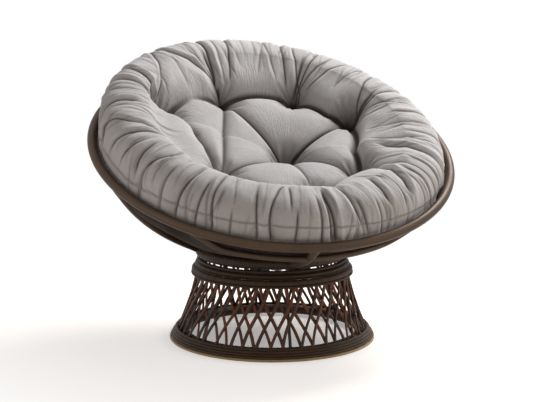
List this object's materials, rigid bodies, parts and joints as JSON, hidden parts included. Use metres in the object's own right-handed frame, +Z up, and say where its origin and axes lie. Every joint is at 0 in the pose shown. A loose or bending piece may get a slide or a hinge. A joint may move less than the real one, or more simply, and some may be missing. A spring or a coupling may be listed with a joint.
{
  "type": "swivel papasan chair",
  "caption": "Round bowl chair: tilted steel bowl with a tufted grey cushion, turning on a flared pedestal of woven cane.",
  "frame": {"origin": "on the floor, where the swivel axis meets it; also the middle of the footprint", "axes": "+Z up along the swivel axis, the front of the bowl (its low side) towards -Y, +X to the right of someone who faces the chair"},
  "size_m": [1.016, 0.9354, 0.8048],
  "materials": {
    "bronze_steel": "satin bronze-brown powder coat on steel tube",
    "dark_cane": "dark brown woven cane, satin, reddish in places",
    "tan_glide": "tan matt glide ring",
    "black_steel": "black painted steel, satin",
    "zinc_steel": "zinc-plated steel",
    "grey_cloth": "warm light grey woven cloth, matt"
  },
  "bodies": {
    "base": {"glide_ring": "tan_glide", "foot_woven_band": "dark_cane", "top_woven_band": "dark_cane", "neck_cane_coil": "dark_cane", "pedestal_top_hoop": "black_steel", "pedestal_foot_hoop": "black_steel", "pedestal_post_1": "black_steel", "pedestal_post_2": "black_steel", "pedestal_post_3": "black_steel", "pedestal_post_4": "black_steel", "pedestal_post_5": "black_steel", "pedestal_post_6": "black_steel", "outer_cane_strands": "dark_cane", "inner_cane_strands": "dark_cane", "pedestal_long_bar": "black_steel", "pedestal_half_bar_1": "black_steel", "pedestal_half_bar_2": "black_steel", "lower_swivel_plate": "zinc_steel", "lower_plate_bolt_1": "zinc_steel", "lower_plate_bolt_2": "zinc_steel", "lower_plate_bolt_3": "zinc_steel", "lower_plate_bolt_4": "zinc_steel", "lower_ball_race": "zinc_steel", "ball_cage": "zinc_steel", "pivot_bolt": "zinc_steel", "pivot_washer": "zinc_steel", "pivot_nut": "zinc_steel"},
    "seat": {"rim_ring": "bronze_steel", "bowl_rib_1": "bronze_steel", "bowl_rib_2": "bronze_steel", "bowl_rib_3": "bronze_steel", "bowl_rib_4": "bronze_steel", "bowl_rib_5": "bronze_steel", "bowl_rib_6": "bronze_steel", "front_brace_left": "bronze_steel", "front_brace_right": "bronze_steel", "seat_cushion": "grey_cloth", "mounting_ring": "bronze_steel", "seat_long_bar": "black_steel", "seat_half_bar_1": "black_steel", "seat_half_bar_2": "black_steel", "upper_swivel_plate": "zinc_steel", "upper_plate_bolt_1": "zinc_steel", "upper_plate_bolt_2": "zinc_steel", "upper_plate_bolt_3": "zinc_steel", "upper_plate_bolt_4": "zinc_steel", "upper_ball_race": "zinc_steel"}
  },
  "joints": [
    {"name": "swivel", "type": "hinge", "parent": "base", "child": "seat", "pos_m": [0, 0, 0.22], "axis": [0, 0, 1], "continuous": true}
  ]
}
